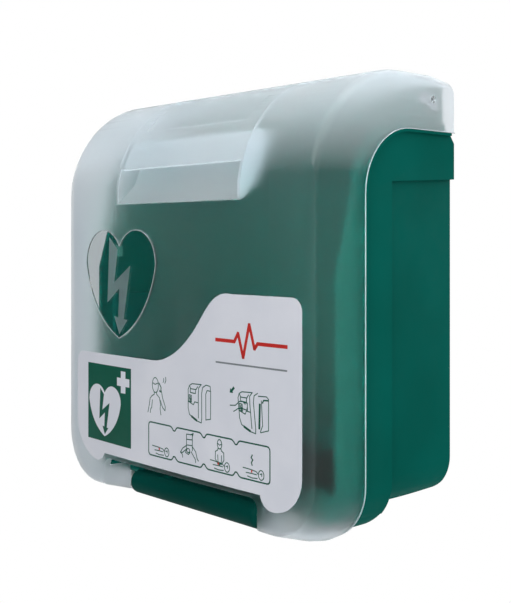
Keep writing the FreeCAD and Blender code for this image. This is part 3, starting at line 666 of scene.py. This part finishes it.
def rim_highlight_beads():
    """Painted highlight: beads along the cover's rear edge, in place of the light that edge catches
    along its whole length.
    """
    half = HALF - RIM_INSET
    centre_y, centre_z = RIM_Y + RIM_ARC_R, EAR_Z - RIM_ARC_R
    side = [(half, DEPTH - 3, EAR_Z), (half, centre_y, EAR_Z)]
    for step in range(1, ARC_STEPS + 1):
        turn = math.radians(90 + 90 * step / ARC_STEPS)
        y = centre_y + RIM_ARC_R * math.cos(turn)
        side.append((half, y, centre_z + RIM_ARC_R * math.sin(turn)))
    corner_x, corner_z = HALF - CHIN_CORNER_R, CHIN_RIM_Z + CHIN_CORNER_R
    radius = CHIN_CORNER_R - RIM_INSET
    for step in range(ARC_STEPS + 1):
        turn = math.radians(-90 * step / ARC_STEPS)
        x = corner_x + radius * math.cos(turn)
        side.append((x, RIM_Y, corner_z + radius * math.sin(turn)))
    side.append((NOTCH_X, RIM_Y, CHIN_RIM_Z + RIM_INSET))
    for flip, name in ((1, "rim_right_highlight"), (-1, "rim_left_highlight")):
        bead(name, [(flip * x, y, z) for x, y, z in side])


sign()
drawings()
emblem()
rim_highlight_beads()
# Painted highlight: a bright line round the window's heart, in place of the light its edge catches.
printed("heart_edge_highlight", stroke(heart(*WINDOW_HEART), 0.8, closed=True), EDGE_HIGHLIGHT, 0.1, 0.2)
printed("window_bolt", [bolt(*WINDOW_HEART)], BOLT, 0.35, 0.35)


# ---------------------------------------------------------------- room, lights and camera

FLOOR_Z = -1.3
FLOOR_HALF = 6.0
BACKGROUND = 1.0
ROOM_LIGHT = 0.85
DIM_LIGHT = 0.04
BRIGHT_SIDE = (0.10, 0.85, 0.50)
BRIGHT_SPAN = (-0.35, 0.85)      # from dim to bright, as the direction turns to the bright side
# Lamps, as name, place, power in watts, and width and height; all are aimed at LAMP_AIM.
LAMPS = (
    ("key", (0.7, -2.0, 1.1), 27, (1.2, 1.0)),
    ("side", (1.9, -0.4, 0.5), 8, (1.0, 1.4)),
    ("under", (0.9, -0.9, -1.0), 1.5, (1.2, 0.8)),
)
LAMP_AIM = Vector((0, -0.1, 0))
CAMERA_PLACE = (0.8135, -0.8261, 0.041)
CAMERA_TURN = 0.836
LENS = 61.82
LENS_SHIFT = -0.1027


def add_floor():
    """Plain pale floor; straight to the camera it is as white as the room."""
    mesh = bpy.data.meshes.new("floor")
    form = bmesh.new()
    bmesh.ops.create_grid(form, x_segments=1, y_segments=1, size=FLOOR_HALF)
    form.to_mesh(mesh)
    form.free()
    floor = bpy.data.objects.new("floor", mesh)
    floor.location.z = FLOOR_Z
    bpy.context.scene.collection.objects.link(floor)
    finish = Finish("floor_paint", Roughness=0.9)
    finish.colour(finish.tint(finish.noise(2.0, 3.0), srgb(236, 236, 236), srgb(242, 242, 242)))
    glow = finish.add("Emission")
    path = finish.add("LightPath")
    mix = finish.add("MixShader")
    finish.link(path.outputs["Is Camera Ray"], mix.inputs["Fac"])
    finish.link(finish.shader.outputs["BSDF"], mix.inputs[1])
    finish.link(glow.outputs["Emission"], mix.inputs[2])
    finish.link(mix.outputs["Shader"], finish.output.inputs["Surface"])
    floor.data.materials.append(finish.material)


def add_world():
    """Room that is bright behind and above and dim in front; the camera sees it white."""
    world = bpy.data.worlds.new("room")
    world.use_nodes = True
    tree = world.node_tree
    light = tree.nodes["Background"]
    light.inputs["Color"].default_value = (1, 1, 1, 1)
    place_node = tree.nodes.new("ShaderNodeTexCoord")
    side = tree.nodes.new("ShaderNodeVectorMath")
    side.operation = "DOT_PRODUCT"
    side.inputs[1].default_value = BRIGHT_SIDE
    tree.links.new(place_node.outputs["Generated"], side.inputs[0])
    room = tree.nodes.new("ShaderNodeMapRange")
    room.interpolation_type = "SMOOTHSTEP"
    room.inputs["From Min"].default_value = BRIGHT_SPAN[0]
    room.inputs["From Max"].default_value = BRIGHT_SPAN[1]
    room.inputs["To Min"].default_value = DIM_LIGHT
    room.inputs["To Max"].default_value = ROOM_LIGHT
    tree.links.new(side.outputs["Value"], room.inputs["Value"])
    path = tree.nodes.new("ShaderNodeLightPath")
    level = tree.nodes.new("ShaderNodeMapRange")
    level.inputs["To Max"].default_value = BACKGROUND
    tree.links.new(path.outputs["Is Camera Ray"], level.inputs["Value"])
    tree.links.new(room.outputs["Result"], level.inputs["To Min"])
    tree.links.new(level.outputs["Result"], light.inputs["Strength"])
    bpy.context.scene.world = world


def add_lamp(name, where, power, size):
    data = bpy.data.lights.new(name, "AREA")
    data.shape = "RECTANGLE"
    data.size, data.size_y = size
    data.energy = power
    lamp = bpy.data.objects.new(name, data)
    lamp.location = where
    lamp.rotation_euler = (LAMP_AIM - Vector(where)).to_track_quat("-Z", "Y").to_euler()
    bpy.context.scene.collection.objects.link(lamp)


def add_camera():
    data = bpy.data.cameras.new("camera")
    data.lens = LENS
    data.sensor_width = 36.0
    data.shift_y = LENS_SHIFT
    camera = bpy.data.objects.new("camera", data)
    camera.location = CAMERA_PLACE
    camera.rotation_euler = (math.radians(90), 0, CAMERA_TURN)
    bpy.context.scene.collection.objects.link(camera)
    bpy.context.scene.camera = camera


add_floor()
add_world()
for lamp_values in LAMPS:
    add_lamp(*lamp_values)
add_camera()
bpy.context.scene.view_settings.view_transform = "Standard"
